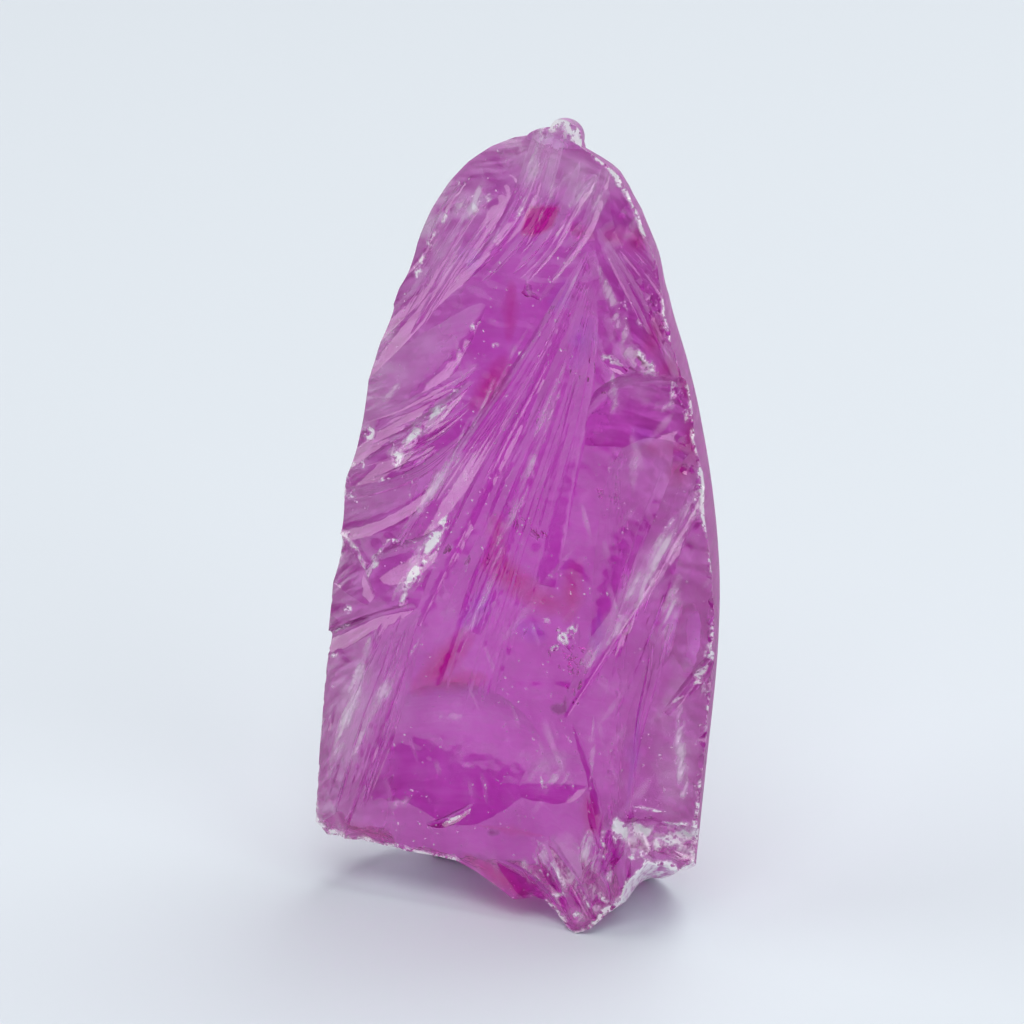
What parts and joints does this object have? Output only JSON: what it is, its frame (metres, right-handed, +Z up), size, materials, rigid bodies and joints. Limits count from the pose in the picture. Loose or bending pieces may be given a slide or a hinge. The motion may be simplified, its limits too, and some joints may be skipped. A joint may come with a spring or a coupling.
{
  "type": "rough zircon",
  "caption": "Rough magenta zircon: a split half of a rounded crystal column with a domed top, a scarred glassy face and a ragged foot.",
  "frame": {"origin": "middle of the footprint box, on the ground the stone stands on", "axes": "+Z up towards the domed end; -Y out of the scarred front face, which leans back 9.5 degrees; +X to the right seen from the front"},
  "size_m": [0.025, 0.0156, 0.0489],
  "materials": {
    "zircon": "clear magenta crystal, glossy on the broken faces, faintly frosted on the grown skin"
  },
  "bodies": {
    "root": {"zircon": "zircon"}
  },
  "joints": []
}
